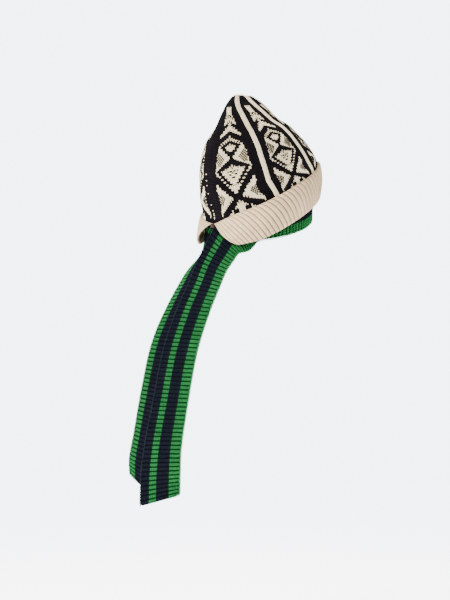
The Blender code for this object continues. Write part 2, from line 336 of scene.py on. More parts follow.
def model_stitch():
    """The points and triangles of one V."""
    legs = [add_leg(-1), add_leg(1)]
    for leg in legs:
        leg.select_set(True)
    bpy.ops.object.join()
    stitch = bpy.context.object
    bpy.ops.object.mode_set(mode="EDIT")
    bpy.ops.mesh.select_all(action="SELECT")
    bpy.ops.mesh.normals_make_consistent(inside=False)
    bpy.ops.object.mode_set(mode="OBJECT")
    points = np.array([vert.co[:] for vert in stitch.data.vertices])
    faces = np.array([face.vertices[:] for face in stitch.data.polygons])
    bpy.data.objects.remove(stitch, do_unlink=True)
    return points, faces


STITCH_POINTS, STITCH_FACES = model_stitch()
AT_TIP = np.abs(np.abs(STITCH_POINTS[:, 1]) - LEG_LENGTH / 2) > LEG_TIP * 0.6
# painted shade of each point of a stitch: dark at the tips, less on the sides, full on the ridge
STITCH_PAINTED_SHADE = np.where(AT_TIP, TIP_SHADE, np.where(STITCH_POINTS[:, 2] > 0.05, 1.0, SIDE_SHADE))
print("one stitch:", len(STITCH_POINTS), "points,", len(STITCH_FACES), "triangles")

# %% [markdown]
# Knitting a part means laying that V at many spots. A spot has a place, a yarn, and three
# directions as long as one stitch is that way: across, along and out. So a gathered stretch of
# cloth gets smaller loops. Each loop also carries a painted shade, an attribute of its points that
# darkens its colour: full on the ridge of a leg, and less where the yarn dives under its
# neighbours, with a little luck.

# %% Lay the stitches
HAND_SHIFT = 0.05  # how uneven the knitting is, in stitches
UNEVEN_SHADE = (0.78, 1.0)  # how much light each loop catches, painted into its colour


class Spots:
    """A list of stitches to lay: places, directions and yarns."""

    def __init__(self):
        self.rows = []
        self.yarns = []
        self.painted_shades = []

    def add(self, place, across, along, out, yarn=0):
        shift = dice.uniform(-HAND_SHIFT, HAND_SHIFT)
        lift = dice.uniform(-HAND_SHIFT, HAND_SHIFT)
        self.rows.append((place + across * shift + out * lift, across, along, out))
        self.yarns.append(yarn)
        self.painted_shades.append(dice.uniform(*UNEVEN_SHADE))


def lay_stitches(name, spots, materials):
    """One mesh with a V at every spot, in the yarn that the spot names."""
    place, across, along, out = np.array(spots.rows).transpose(1, 0, 2)
    local = STITCH_POINTS
    points = (place[:, None, :] + local[None, :, 0:1] * across[:, None, :]
              + local[None, :, 1:2] * along[:, None, :] + local[None, :, 2:3] * out[:, None, :])
    count, size = len(place), len(local)
    faces = STITCH_FACES[None, :, :] + (np.arange(count) * size)[:, None, None]
    mesh = bpy.data.meshes.new(name)
    mesh.from_pydata(points.reshape(-1, 3).tolist(), [], faces.reshape(-1, 3).tolist())
    yarns = np.repeat(spots.yarns, len(STITCH_FACES)).astype(np.int32)
    mesh.polygons.foreach_set("material_index", yarns)
    mesh.shade_smooth()
    painted_shades = np.array(spots.painted_shades)[:, None] * STITCH_PAINTED_SHADE[None, :]
    mesh.attributes.new("shade", "FLOAT", "POINT").data.foreach_set("value", painted_shades.ravel())
    for material in materials:
        mesh.materials.append(material)
    piece = bpy.data.objects.new(name, mesh)
    bpy.context.collection.objects.link(piece)
    print(name + ":", count, "stitches")
    return piece


def unit(vector):
    return vector / np.linalg.norm(vector)


# %% [markdown]
# Wool is rough and a little hairy. Its colour wanders from strand to strand. Noise in the object's
# own space gives the wandering colour, the fibres and a fine bump. It sits in one group, which
# every yarn shares with its own numbers. The hollows between loops get a painted shade: the loops'
# shade attribute darkens the colour there.

# %% The wool effect
def socket(group, name, kind, way, value=None):
    made = group.interface.new_socket(name=name, in_out=way, socket_type=kind)
    if value is not None:
        made.default_value = value
    return made


def noise(tree, place, scale, detail):
    inputs = {"Vector": place, "Scale": scale, "Detail": detail}
    return tree.add("TexNoise", inputs).outputs["Fac"]


def make_wool_group():
    group = bpy.data.node_groups.new("wool", "ShaderNodeTree")
    socket(group, "Colour", "NodeSocketColor", "INPUT", (0.5, 0.5, 0.5, 1.0))
    socket(group, "Variation", "NodeSocketFloat", "INPUT", 0.25)
    socket(group, "Fibre Scale", "NodeSocketFloat", "INPUT", 1500.0)
    socket(group, "Colour", "NodeSocketColor", "OUTPUT")
    socket(group, "Roughness", "NodeSocketFloat", "OUTPUT")
    socket(group, "Height", "NodeSocketFloat", "OUTPUT")
    tree = Tree(group)
    given = tree.nodes.new("NodeGroupInput").outputs
    out = tree.nodes.new("NodeGroupOutput").inputs
    place = tree.add("TexCoord").outputs["Object"]
    strand = noise(tree, place, 420.0, 2.0)
    slow = noise(tree, place, 38.0, 3.0)
    fibre = noise(tree, place, given["Fibre Scale"], 3.0)
    three = tree.math("ADD", tree.math("ADD", strand, slow), fibre)
    centred = tree.math("SUBTRACT", three, 1.5)
    swing = tree.math("MULTIPLY", centred, given["Variation"])
    value = tree.math("ADD", tree.math("MULTIPLY", swing, 2.0), 1.0)
    shade = tree.add("HueSaturation", {"Value": value, "Color": given["Colour"]})
    tree.link(shade.outputs["Color"], out["Colour"])
    rough = tree.math("MULTIPLY", fibre, 0.25)
    tree.link(tree.math("ADD", rough, 0.72, clamp=True), out["Roughness"])
    height = tree.math("MULTIPLY", strand, 0.5)
    tree.link(tree.math("ADD", height, fibre), out["Height"])
    return group


WOOL = make_wool_group()
DEEP_SHADE = 0.10  # the painted shade between loops, as a share of the yarn's colour
DEEP_SHADE_CREAM = 0.45  # the painted shade on cream yarn is lighter, as light passes through pale yarn


def new_wool(name, variation, bump=0.0004, sheen=0.10, gloss=0.10, colour=None, knitted=True,
             deep=DEEP_SHADE):
    """A material with the wool group wired to its shader. Without a colour, the caller links one."""
    material = bpy.data.materials.new(name)
    material.use_nodes = True
    tree = Tree(material.node_tree)
    shader = tree.nodes["Principled BSDF"].inputs
    shader["Specular IOR Level"].default_value = gloss
    shader["Sheen Weight"].default_value = sheen
    shader["Sheen Roughness"].default_value = 0.5
    wool = tree.add("Group", node_tree=WOOL)
    wool.inputs["Variation"].default_value = variation
    if knitted:
        # painted shade: the loops' shade attribute mixes the yarn's colour towards a darker one in the
        # hollows between loops
        shade = tree.add("Attribute", attribute_name="shade").outputs["Fac"]
        shade_between_loops = [deep * x for x in colour]
        tree.link(tree.mix(shade, shade_between_loops, colour), wool.inputs["Colour"])
    elif colour:
        wool.inputs["Colour"].default_value = (*colour, 1.0)
    raised = tree.add("Bump", {"Strength": 0.6, "Distance": bump, "Height": wool.outputs["Height"]})
    tree.link(wool.outputs["Colour"], shader["Base Color"])
    tree.link(wool.outputs["Roughness"], shader["Roughness"])
    tree.link(raised.outputs["Normal"], shader["Normal"])
    return material, tree, wool, raised


CREAM = (1.0, 0.84, 0.55)
BLACK = (0.0085, 0.0068, 0.0080)
CUFF_CREAM = (0.60, 0.42, 0.24)
GREEN = (0.024, 0.185, 0.046)
NAVY = (0.0095, 0.0120, 0.0190)
# painted highlight: the navy selvedge is painted lighter, as light catches its rolled edge
NAVY_EDGE_HIGHLIGHT = (0.030, 0.037, 0.048)
BROWN = (0.050, 0.026, 0.014)
# the black yarn painted darker: painted shade on the cloth under the loops, which shows only between
# them
SHADED_BLACK = (0.0025, 0.0020, 0.0024)

cream_yarn = new_wool("cream_yarn", 0.14, colour=CREAM, deep=DEEP_SHADE_CREAM)[0]
black_yarn = new_wool("black_yarn", 0.35, sheen=0.0, gloss=0.02, colour=BLACK)[0]
green_yarn = new_wool("green_yarn", 0.30, sheen=0.0, gloss=0.04, colour=GREEN)[0]
navy_yarn = new_wool("navy_yarn", 0.35, sheen=0.0, gloss=0.02, colour=NAVY)[0]
navy_edge_highlight = new_wool("navy_edge_highlight", 0.3, sheen=0.0, gloss=0.04, colour=NAVY_EDGE_HIGHLIGHT)[0]
brown_thread = new_wool("brown_thread", 0.2, colour=BROWN, knitted=False)[0]
black_cloth = new_wool("black_cloth", 0.2, sheen=0.0, gloss=0.01, colour=SHADED_BLACK,
                       knitted=False)[0]
print("yarns: cream, black, green, navy and brown thread")

# %% [markdown]
# Each smooth cloth under the loops starts as a flat grid, which is how knitting comes off the
# needles. A function then says where each point of the flat cloth lies on the hat. The grid keeps
# its own UV map, so a pattern on it follows the cloth. Edges that meet are merged, Solidify gives
# the cloth a thickness, and its open ends can be closed with a face each.

# %% Flat cloth to shaped cloth
def shape_cloth(name, columns, rows, where, thickness=None, offset=-1.0):
    """A grid whose points go where the function says: shares from 0 to 1 along and up the cloth."""
    bpy.ops.object.select_all(action="DESELECT")
    bpy.ops.mesh.primitive_grid_add(x_subdivisions=columns, y_subdivisions=rows, size=1.0)
    cloth = bpy.context.object
    cloth.name = cloth.data.name = name
    for vert in cloth.data.vertices:
        vert.co = where(min(max(vert.co.x + 0.5, 0.0), 1.0), min(max(vert.co.y + 0.5, 0.0), 1.0))
    bpy.ops.object.mode_set(mode="EDIT")
    bpy.ops.mesh.select_all(action="SELECT")
    bpy.ops.mesh.remove_doubles(threshold=1e-6)
    bpy.ops.mesh.normals_make_consistent(inside=False)
    bpy.ops.object.mode_set(mode="OBJECT")
    if thickness:
        wall = cloth.modifiers.new("thickness", "SOLIDIFY")
        wall.thickness = thickness
        wall.offset = offset
        bpy.ops.object.modifier_apply(modifier=wall.name)
    cloth.data.shade_smooth()
    return cloth


def close_ends(cloth, chosen):
    """Closes the open edges that the test chooses, and turns all faces outwards."""
    bpy.ops.object.mode_set(mode="EDIT")
    bpy.ops.mesh.select_all(action="DESELECT")
    bpy.ops.mesh.select_mode(type="EDGE")
    mesh = bmesh.from_edit_mesh(cloth.data)
    for edge in mesh.edges:
        edge.select_set(edge.is_boundary and chosen(edge))
    bmesh.update_edit_mesh(cloth.data)
    bpy.ops.mesh.edge_face_add()
    bpy.ops.mesh.select_all(action="SELECT")
    bpy.ops.mesh.normals_make_consistent(inside=False)
    bpy.ops.mesh.select_mode(type="VERT")
    bpy.ops.object.mode_set(mode="OBJECT")


# %% [markdown]
# The crown's lining is the reverse of the double knit. Its outer face is hidden by the loops, and
# its inner face shows from below as a fine speckle of both yarns, which knitters call a bird's-eye
# back. The speckle is a checker on the cloth's own UV map, one square to a stitch.

# %% Crown lining
CROWN_WALL = 0.0025
LOOP_SINK = 0.0009  # the lining's face lies this far below the loops' middle
HEM_OVERLAP = 0.0090
HEM_AT_SPLIT = 0.0010
HEM_RISE_ANGLE = math.radians(30.0)
LINING_STITCHES = 250
LINING_ROWS = 80
LINING_TOP = CROWN_HEIGHT - 0.0012


def hem_height(angle):
    at_split = bell(from_split(angle), HEM_RISE_ANGLE)
    return cuff_top(angle) - HEM_OVERLAP - (HEM_AT_SPLIT - HEM_OVERLAP) * at_split


def lining_point(along, up):
    angle = math.tau * along
    low = hem_height(angle)
    return layer_point(low + (LINING_TOP - low) * up, angle, -LOOP_SINK)


def speckle_material():
    material, tree, wool, raised = new_wool("crown_reverse", 0.2, knitted=False, bump=0.0006,
                                            sheen=0.0, gloss=0.02)
    place = tree.add("UVMap").outputs["UV"]
    grow = tree.add("Mapping", {"Vector": place, "Scale": (LINING_STITCHES, LINING_ROWS, 1.0)})
    dull_cream = [0.6 * x for x in CREAM]
    check = tree.add("TexChecker", {
        "Vector": grow.outputs["Vector"], "Scale": 1.0,
        "Color1": (*BLACK, 1.0), "Color2": (*dull_cream, 1.0)})
    tree.link(check.outputs["Color"], wool.inputs["Colour"])
    return material


def make_lining():
    lining = shape_cloth("crown_lining", 108, 48, lining_point)
    close_ends(lining, lambda edge: edge.verts[0].co.z > CROWN_HEIGHT * 0.9)
    wall = lining.modifiers.new("wall", "SOLIDIFY")
    wall.thickness = CROWN_WALL - LOOP_SINK
    wall.offset = -1.0
    wall.material_offset = 1
    bpy.ops.object.modifier_apply(modifier=wall.name)
    # the outer face, seen only between the loops, is black with painted shade
    lining.data.materials.append(black_cloth)
    lining.data.materials.append(speckle_material())
    return lining


crown_lining = make_lining()
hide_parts("crown")
print("lining:", len(crown_lining.data.polygons), "faces")

# %% [markdown]
# The crown is knitted in rows that run level round the hat, and its gores narrow towards the
# tip by leaving out stitches beside the seams. Places on it are counted as a knitter counts them:
# stitches from a gore's middle line, and rows above the hem. The rows get a height from a short
# table, and the whole crown twists a little on its way up, as the real one does.

# %% Rows and stitches of the crown
ROW_HEIGHT = 0.00235
ROWS = {  # height above the opening in millimetres, and the row that lies there
    "up": (45, 54, 70, 90, 110, 130, 150, 170, 185, 195, 199.5),
    "row": (2.3, 6.6, 15.5, 26.8, 37.9, 49.4, 62.2, 74.0, 82.5, 88.5, 91.9),
}
TWIST = {  # how far the crown is twisted at a row, in degrees of its girth
    "row": (45, 50, 55, 60, 65, 70, 75, 80, 85, 92),
    "turn": (0.0, 1.0, 2.5, 4.5, 8.5, 12.5, 17.5, 25.0, 31.0, 38.0),
}
HEM_PULL = 6.0  # the lowest rows are drawn away from the split by up to this many degrees
HEM_PULL_ROWS = (6.0, 20.0)
FIRST_ROW = 4
LAST_ROW = 90
GORES = {  # degrees of girth from the split: middle line, both seams, and stitch width
    "middle": (36.8, 96.0, 151.0, -151.0, -96.0, -29.0),
    "from": (0.0, 70.0, 122.0, -180.0, -122.0, -70.0),
    "to": (70.0, 122.0, 180.0, -122.0, -70.0, 0.0),
    "stitch": (0.00189, 0.00155, 0.00162, 0.00162, 0.00155, 0.00189),
}
RING_COLUMNS = 240


class Ring:
    """One level line round the crown, measured along its girth from the split."""

    def __init__(self, row):
        self.up = float(np.interp(row, ROWS["row"], ROWS["up"])) / 1000
        self.twist = -float(np.interp(row, TWIST["row"], TWIST["turn"]))
        self.pull = float(np.interp(row, HEM_PULL_ROWS, (HEM_PULL, 0.0)))
        angles = np.linspace(0.0, math.tau, RING_COLUMNS + 1)
        self.points = layer_points(self.up, angles, 0.0)
        steps = np.linalg.norm(np.diff(self.points, axis=0), axis=1)
        run = np.concatenate([[0.0], np.cumsum(steps)])
        self.girth = float(run[-1])
        self.share = run / self.girth

    def at(self, degrees):
        """The point this many degrees of girth from the split, twist included."""
        pull = self.pull * math.sin(math.radians(degrees))
        share = ((degrees + self.twist + pull) / 360.0) % 1.0
        return np.array([np.interp(share, self.share, self.points[:, k]) for k in range(3)])


RINGS = {row / 2: Ring(row / 2) for row in range(2, 184)}


def crown_spot(degrees, row, stitch, out=0.0, tall=ROW_HEIGHT):
    """Place and directions of one stitch on the crown, at degrees of girth and a row."""
    ring, above, below = RINGS[row], RINGS[min(row + 0.5, 91.5)], RINGS[row - 0.5]
    turn = 360.0 * stitch / ring.girth
    across = unit(ring.at(degrees + turn) - ring.at(degrees - turn))
    along = unit(above.at(degrees) - below.at(degrees))
    outward = unit(np.cross(across, along))
    place = ring.at(degrees) + outward * out
    return place, across * stitch, along * tall, outward * stitch


ring = RINGS[30.0]
print("girth at row 30:", round(ring.girth * 1000), "mm")

# %% [markdown]
# The pattern is charted as knitters chart it, by straight lines that climb so many rows for each
# stitch. From the tip down a gore holds a block, a small arrowhead, a boomerang, a large diamond
# with a dotted ring, and a black cross with cream corners. Its slanted edges are serrated. The two
# halves are mirror images, so x counts stitches from the middle line in either direction.

# %% The chart
def kite(x, row, top, corner_x, corner_row, bottom):
    """Inside a kite with a pointed top and bottom and two side corners."""
    if x > corner_x or row > top or row < bottom:
        return False
    share = x / corner_x
    return bottom + (corner_row - bottom) * share <= row <= top + (corner_row - top) * share


def arrowhead(x, row):
    """The small figure under the tip: cream, with two dark chevrons."""
    if not 68.5 <= row <= 75.2 or x > 3.5 + 0.35 * (75 - row):
        return False
    dark = any(abs(row - (apex - 0.55 * x)) < 0.6 for apex in (75.0, 70.6))
    return not dark


def is_check(x, row):
    """In the checked fields: at the diamond's waist and inside the lower corners."""
    waist = 39 <= row <= 47 and 6.3 + abs(row - 43) * 0.9 <= x <= 13.7
    corner = 12 <= row <= 21 and x <= 17 and side_arrow(x, row, 6.6)
    return waist or corner


def diamond_edge(row):
    """How many stitches the large diamond reaches from the middle line."""
    return float(np.interp(row, (19.9, 35.0, 43.0, 52.4, 59.1), (0.0, 16.2, 13.5, 10.6, 0.0)))


def in_ring(x, row):
    """The dotted ring in the diamond, and its centre dot."""
    ring_run = x / 1.4 + abs(row - 33.4)
    return ring_run < 0.6 or (1.6 <= ring_run <= 3.6 and (x + round(row)) % 2 == 0)


def diamond(x, row):
    """The large cream diamond, with its dark outlines and dotted ring."""
    if not 19.9 <= row <= 59.1 or x > diamond_edge(row):
        return False
    if kite(x, row, 57.0, 9.8, 52.4, 42.0) and not kite(x, row, 53.2, 5.0, 51.2, 47.4):
        return False
    if x <= 1.2 and 40 <= row <= 46:
        return False
    outline = kite(x, row, 43.4, 15.2, 35.8, 19.8) and not kite(x, row, 38.2, 10.8, 34.8, 25.0)
    if outline and row > 25.5:
        return False
    return not in_ring(x, row)


def side_arrow(x, row, shift=0.0):
    """The cream corner beside the black cross, or its smaller copy moved outwards."""
    x = x - shift
    return x >= 4.1 and 19.6 - 0.57 * x <= row <= 13.9 + 0.84 * x


def lower_field(x, row):
    """Below the diamond: cream corners, dark inside, and the cream point at the hem."""
    if side_arrow(x, row):
        if side_arrow(x, row, 6.6):
            return False
        return x <= 19.6 - (row - 8.5) * 0.1
    if row <= 14.4 - 0.645 * x and x <= 11.5:
        return not (abs(x - 4.7) < 2.4 and abs(row - 8.8) < 1.9)
    return False


TOOTH = 0.9  # slanted edges are serrated: every other wale is this many rows higher


def is_cream(x, row):
    """Whether the loop x stitches from the middle line, in this row, is cream."""
    if is_check(x, row):
        return (x + row) % 2 != 0
    row = row + (TOOTH if x % 2 else 0.0)
    if 76 <= row <= 81.5:
        return x <= 2.5
    if arrowhead(x, row):
        return True
    if x <= 9 and 63.5 - 0.5 * x <= row <= 68.3 - 0.8 * x:
        return True
    return diamond(x, row) or lower_field(x, row)


for row in range(84, 3, -4):
    print("".join("o" if is_cream(abs(x), row) else "." for x in range(-20, 21)))

# %% [markdown]
# Now each gore is knitted. A row starts at the middle line and runs both ways until it meets the
# seams. Cream and black loops go into one mesh with two material slots, so a gore is one piece
# with two yarns.

# %% Knit the gores
CHECK_SIZE = 1.3  # a single black loop among cream ones stands proud and looks larger


def gore_row(gore, row, spots):
    ring = RINGS[float(row)]
    middle, low, high, stitch = (GORES[name][gore] for name in ("middle", "from", "to", "stitch"))
    per_stitch = 360.0 * stitch / ring.girth
    first = -int((middle - low) / per_stitch)
    last = int((high - middle) / per_stitch)
    for x in range(first, last + 1):
        yarn = 0 if is_cream(abs(x), row) else 1
        alone = yarn == 1 and (is_check(abs(x), row) or in_ring(abs(x), row))
        proud = CHECK_SIZE if alone else 1.0
        place, across, along, out = crown_spot(middle + x * per_stitch, float(row), stitch)
        spots.add(place + out * (proud - 1.0), across * proud, along * proud, out, yarn)


def knit_gore(gore):
    spots = Spots()
    for row in range(FIRST_ROW, LAST_ROW + 1):
        gore_row(gore, row, spots)
    return lay_stitches(f"gore_{gore + 1}", spots, [cream_yarn, black_yarn])


gores = [knit_gore(gore) for gore in range(6)]

# %% [markdown]
# Along each seam between gores runs a raised cream stripe, three wales wide, from the cuff to the
# tip. The seam over the split is only closed with black yarn, and a few small cream stitches show
# on it. At the tip all stripes meet in a small flat button of cream loops.

# %% Seam stripes and tip
SEAMS = (70.0, 122.0, 180.0, -122.0, -70.0)
STRIPE_WIDTH = 0.0072
STRIPE_WALES = 3
STRIPE_LIFT = 0.0014
CLOSING_STITCHES = (35.0, 31.0, 28.0, 23.0, 16.0, 12.5, 10.5, 9.5, 8.0, 7.0)
CLOSING_LOOP = (0.0016, 0.0011, 0.0019)  # its width, its height above the crown, its length
TIP_RADII = (0.0086, 0.0069, 0.0052, 0.0032, 0.0013)
TIP_LOOP = (0.0023, 0.0024, 0.0021)  # its size across, along and out
TIP_SPACING = 0.0021
TIP_DOME = 0.0012  # the button falls by this much, from its middle to this radius
TIP_DOME_RADIUS = 0.0085


def knit_stripes():
    spots = Spots()
    wale = STRIPE_WIDTH / STRIPE_WALES
    for seam in SEAMS:
        for row in range(FIRST_ROW, LAST_ROW + 1):
            girth = RINGS[float(row)].girth
            narrow = min(1.0, girth / 0.14) ** 0.5
            for k in (-1, 0, 1):
                lift = STRIPE_LIFT * (1.0 if k == 0 else 0.55)
                degrees = seam + 360.0 * k * wale * narrow / girth
                spots.add(*crown_spot(degrees, float(row), wale * narrow, lift, ROW_HEIGHT * 1.05))
    return lay_stitches("seam_stripes", spots, [cream_yarn])


def knit_tip():
    spots = Spots()
    middle = layer_points(CROWN_HEIGHT, np.linspace(0, math.tau, 40, endpoint=False), 0.0).mean(axis=0)
    for radius in TIP_RADII:
        count = max(3, round(math.tau * radius / TIP_SPACING))
        for k in range(count):
            turn = math.tau * k / count
            way = np.array([math.cos(turn), math.sin(turn), 0.0])
            side = np.array([-math.sin(turn), math.cos(turn), 0.0])
            rise = TIP_DOME / 2 - (radius / TIP_DOME_RADIUS) ** 2 * TIP_DOME
            place = middle + way * radius + np.array([0.0, 0.0, rise])
            along = (-way + np.array([0.0, 0.0, 0.25])) * TIP_LOOP[1]
            spots.add(place, side * TIP_LOOP[0], along, np.array([0.0, 0.0, TIP_LOOP[2]]))
    return lay_stitches("crown_tip", spots, [cream_yarn])


def knit_closing():
    spots = Spots()
    for row in CLOSING_STITCHES:
        spots.add(*crown_spot(0.0, row, *CLOSING_LOOP))
    return lay_stitches("closing_stitches", spots, [cream_yarn])


seam_stripes = knit_stripes()
crown_tip = knit_tip()
closing_stitches = knit_closing()

# %% [markdown]
# The cuff is a strip of rib knit folded along its lower edge, with a thin groove between each two
# ribs. Its section is a closed loop: round the fold, up the outside, over the top and down the
# inside. Its loops are too small to model one by one, so they are a bump on its own UV map.

# %% Cuff
CUFF_WALL = 0.0050
CUFF_RIBS = 72
CUFF_RIB_DEPTH = 0.0013
CUFF_BULGE = 0.0035
SPLIT_HALF_ANGLE = math.radians(35.0)
SPLIT_CURVE = 0.6
TACK_GAP = 0.0012
CORNER_LIFT = 0.0080
CORNER_FLARE = 0.0020
CORNER_ANGLE = math.radians(20.0)
ROUND_LIFT = 0.0050  # the very corner is rounded up by this much more
ROUND_ANGLE = math.radians(3.5)
CLEARANCE = 0.0004
RIB_COLUMNS = 7
GROOVE_WIDTH = 0.10  # in ribs
GROOVE_DEEPER = 2.0  # the grooves are cut this many times deeper than the solid's
FOLD_STEPS = 5
FACE_STEPS = 14


def cuff_section():
    """Shares up and out round the closed section, from the inner face over the fold and top."""
    radius = CUFF_WALL / 2
    edge = radius / CUFF_HEIGHT
    turns = np.linspace(0, math.pi, FOLD_STEPS)
    fold = [(edge - edge * math.sin(t), 0.5 - 0.5 * math.cos(t)) for t in turns]
    outer = [(up, 1.0) for up in np.linspace(edge, 1 - edge, FACE_STEPS)][1:-1]
    top = [(1 - edge + edge * math.sin(t), 0.5 + 0.5 * math.cos(t)) for t in turns]
    inner = [(up, 0.0) for up in np.linspace(1 - edge, edge, FACE_STEPS // 2)][1:]
    return fold + outer + top + inner


CUFF_SECTION = cuff_section()


def cuff_point(along, up_share, out_share):
    """A point of the cuff: along it from end to end, up it, and out from the crown."""
    tack = TACK_GAP / BAND_WIDTH
    end = tack + (SPLIT_HALF_ANGLE - tack) * (1 - up_share) ** SPLIT_CURVE
    angle = end + (math.tau - 2 * end) * along
    beyond = abs(from_split(angle)) - end
    at_end = bell(beyond, CORNER_ANGLE) * (1 - up_share)
    rib = along * CUFF_RIBS
    from_groove = abs((rib + 0.5) % 1.0 - 0.5)
    groove = bell(from_groove, GROOVE_WIDTH)
    edge_run = min(along, 1 - along) * CUFF_RIBS * 1.1
    round_end = max(0.0, 1 - edge_run) ** 2
    out_share = 0.5 + (out_share - 0.5) * (1 - 0.55 * round_end)
    stand_off = (CLEARANCE + CUFF_WALL * out_share - groove * CUFF_RIB_DEPTH * GROOVE_DEEPER * out_share
                 + CUFF_BULGE * math.sin(math.pi * up_share) + CORNER_FLARE * at_end)
    rounded = ROUND_LIFT * bell(beyond, ROUND_ANGLE) * (1 - up_share) ** 4
    return layer_point(cuff_top(angle) * up_share + CORNER_LIFT * at_end + rounded, angle, stand_off)


def cuff_place(along, around):
    up, out = CUFF_SECTION[round(around * (len(CUFF_SECTION) - 1))]
    return cuff_point(along, up, out)


def make_cuff():
    cuff = shape_cloth("rib_cuff", CUFF_RIBS * RIB_COLUMNS, len(CUFF_SECTION) - 1, cuff_place)
    close_ends(cuff, lambda edge: True)
    cuff.data.shade_smooth()
    return cuff


rib_cuff = make_cuff()
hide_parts("cuff")
print("cuff:", len(rib_cuff.data.polygons), "faces")

# %% [markdown]
# The finish of the cuff follows its ribs. From the UV map come two numbers: how far a spot is from
# the nearest groove, and where it is within its stitch. The first paints a brown shade into the
# grooves, and the second raises the small Vs and paints their ridges lighter. The V pattern is a
# group, because the scarf's cloth uses it too.

# %% Fine loops and the cuff's wool
def make_loops_group():
    """Rows of small Vs on a UV map: U counts wales, V counts rows."""
    group = bpy.data.node_groups.new("fine_loops", "ShaderNodeTree")
    socket(group, "UV", "NodeSocketVector", "INPUT")
    socket(group, "Wales", "NodeSocketFloat", "INPUT", 240.0)
    socket(group, "Rows", "NodeSocketFloat", "INPUT", 50.0)
    socket(group, "Height", "NodeSocketFloat", "OUTPUT")
    tree = Tree(group)
    given = tree.nodes.new("NodeGroupInput").outputs
    split = tree.add("SeparateXYZ", {0: given["UV"]}).outputs
    wale = tree.math("MULTIPLY", split["X"], given["Wales"])
    row = tree.math("MULTIPLY", split["Y"], given["Rows"])
    side = tree.math("PINGPONG", wale, 0.5)
    phase = tree.math("SUBTRACT", row, tree.math("MULTIPLY", side, 1.4))
    leg = tree.math("PINGPONG", phase, 0.5)
    rounded = tree.math("MULTIPLY", side, tree.math("SUBTRACT", 0.5, side))
    height = tree.math("ADD", leg, tree.math("MULTIPLY", rounded, 8.0))
    tree.link(height, tree.nodes.new("NodeGroupOutput").inputs["Height"])
    return group


LOOPS = make_loops_group()


def add_loops(tree, uv, wales, rows, wool, raised):
    """Adds the fine Vs to a wool material's bump, and gives back their height."""
    loops = tree.add("Group", {"UV": uv, "Wales": wales, "Rows": rows}, node_tree=LOOPS)
    fuzz = tree.math("MULTIPLY", wool.outputs["Height"], 0.4)
    tree.link(tree.math("ADD", loops.outputs["Height"], fuzz), raised.inputs["Height"])
    return loops.outputs["Height"]


# painted shade: the cuff's cream is mixed to this brown in its grooves
GROOVE_SHADE_BROWN = (0.045, 0.022, 0.010)
GROOVE_SHADOW = 0.19  # the painted brown shade reaches this far from the groove, in ribs


def cuff_material():
    material, tree, wool, raised = new_wool("cuff_wool", 0.32, knitted=False, bump=0.0009, sheen=0.05)
    uv = tree.add("UVMap").outputs["UV"]
    loops = add_loops(tree, uv, CUFF_RIBS * 4.0, 50.0, wool, raised)
    split = tree.add("SeparateXYZ", {0: uv}).outputs
    rib = tree.math("MULTIPLY", split["X"], float(CUFF_RIBS))
    out_of_groove = tree.ease(tree.math("PINGPONG", rib, 0.5), 0.0, GROOVE_SHADOW)
    light = tree.math("MULTIPLY", out_of_groove, 0.72)
    # painted light: the loops' height lightens the colour on their ridges
    light = tree.math("ADD", light, tree.math("MULTIPLY", loops, 0.30), clamp=True)
    tree.link(tree.mix(light, GROOVE_SHADE_BROWN, CUFF_CREAM), wool.inputs["Colour"])
    return material


rib_cuff.data.materials.append(cuff_material())
print("cuff wool: fine loops and brown grooves")

# %% [markdown]
# The cuff's two ends are tacked together at the top with a few turns of dark thread. Each turn is
# a small ring through both ends.

# %% Tack
TACK_TURNS = 4
TACK_WIDTH = 0.0030
TACK_PITCH = 0.0014
THREAD_RADIUS = 0.00055


def make_tack():
    bpy.ops.object.select_all(action="DESELECT")
    rings = []
    for k in range(TACK_TURNS):
        up = CUFF_HEIGHT - SPLIT_DIP - 0.0008 - TACK_PITCH * k
        place = layer_point(up, 0.0, CUFF_WALL * 0.62)
        bpy.ops.mesh.primitive_torus_add(
            location=place, rotation=(math.radians(8.0 * (k % 2) - 4.0), 0.0, 0.0),
            major_radius=TACK_WIDTH, minor_radius=THREAD_RADIUS, major_segments=20, minor_segments=8)
        rings.append(bpy.context.object)
    for one in rings:
        one.select_set(True)
    bpy.ops.object.join()
    tack = bpy.context.object
    tack.name = tack.data.name = "cuff_tack"
    bpy.ops.object.transform_apply()
    tack.data.shade_smooth()
    tack.data.materials.append(brown_thread)
    return tack


cuff_tack = make_tack()
print("tack:", TACK_TURNS, "turns of thread")

# %% [markdown]
# The scarf is one strip, 70 mm wide and almost 1.3 m long. Its route has two edges, navy and
# green, given at a few stations: round the inside of the cuff, out through the split, and down each
# tail. A smooth curve runs through the stations, and the ribs are spaced evenly along it.

# %% The scarf's route
SCARF_WIDTH = 0.0700
SCARF_WALL = 0.0030
SCARF_RIB_PITCH = 0.0065
SCARF_RIB_DEPTH = 0.0007
SCARF_EASE = 0.0028
TAIL_DROP = 0.4317
TAIL_REACH = 0.1240
FAR_TAIL_SHARE = 0.963
TAIL_OVERLAP = 0.0080
TAIL_STANDOFF = 0.0110
TAIL_CORNER = 0.0055
CURVE_PIECES = 12
BAND_ROUTE = {
    "angle": (60.0, 75.0, 90.0, 105.0, 120.0, 150.0, 180.0),
    "navy_up": (0.93, 0.86, 0.77, 0.69, 0.62, 0.55, 0.54),
    "lean": (0.0, 0.5, 1.0, 1.5, 1.5, 1.5, 1.5),
}
TURN_ROUTE = {
    "angle": (40.0, 20.0),
    "navy_up": (0.89, 0.72),
    "turn": (29.0, 15.0),
    "dip": (-73.5, -50.5),
    "width": (1.0, 0.93),
}
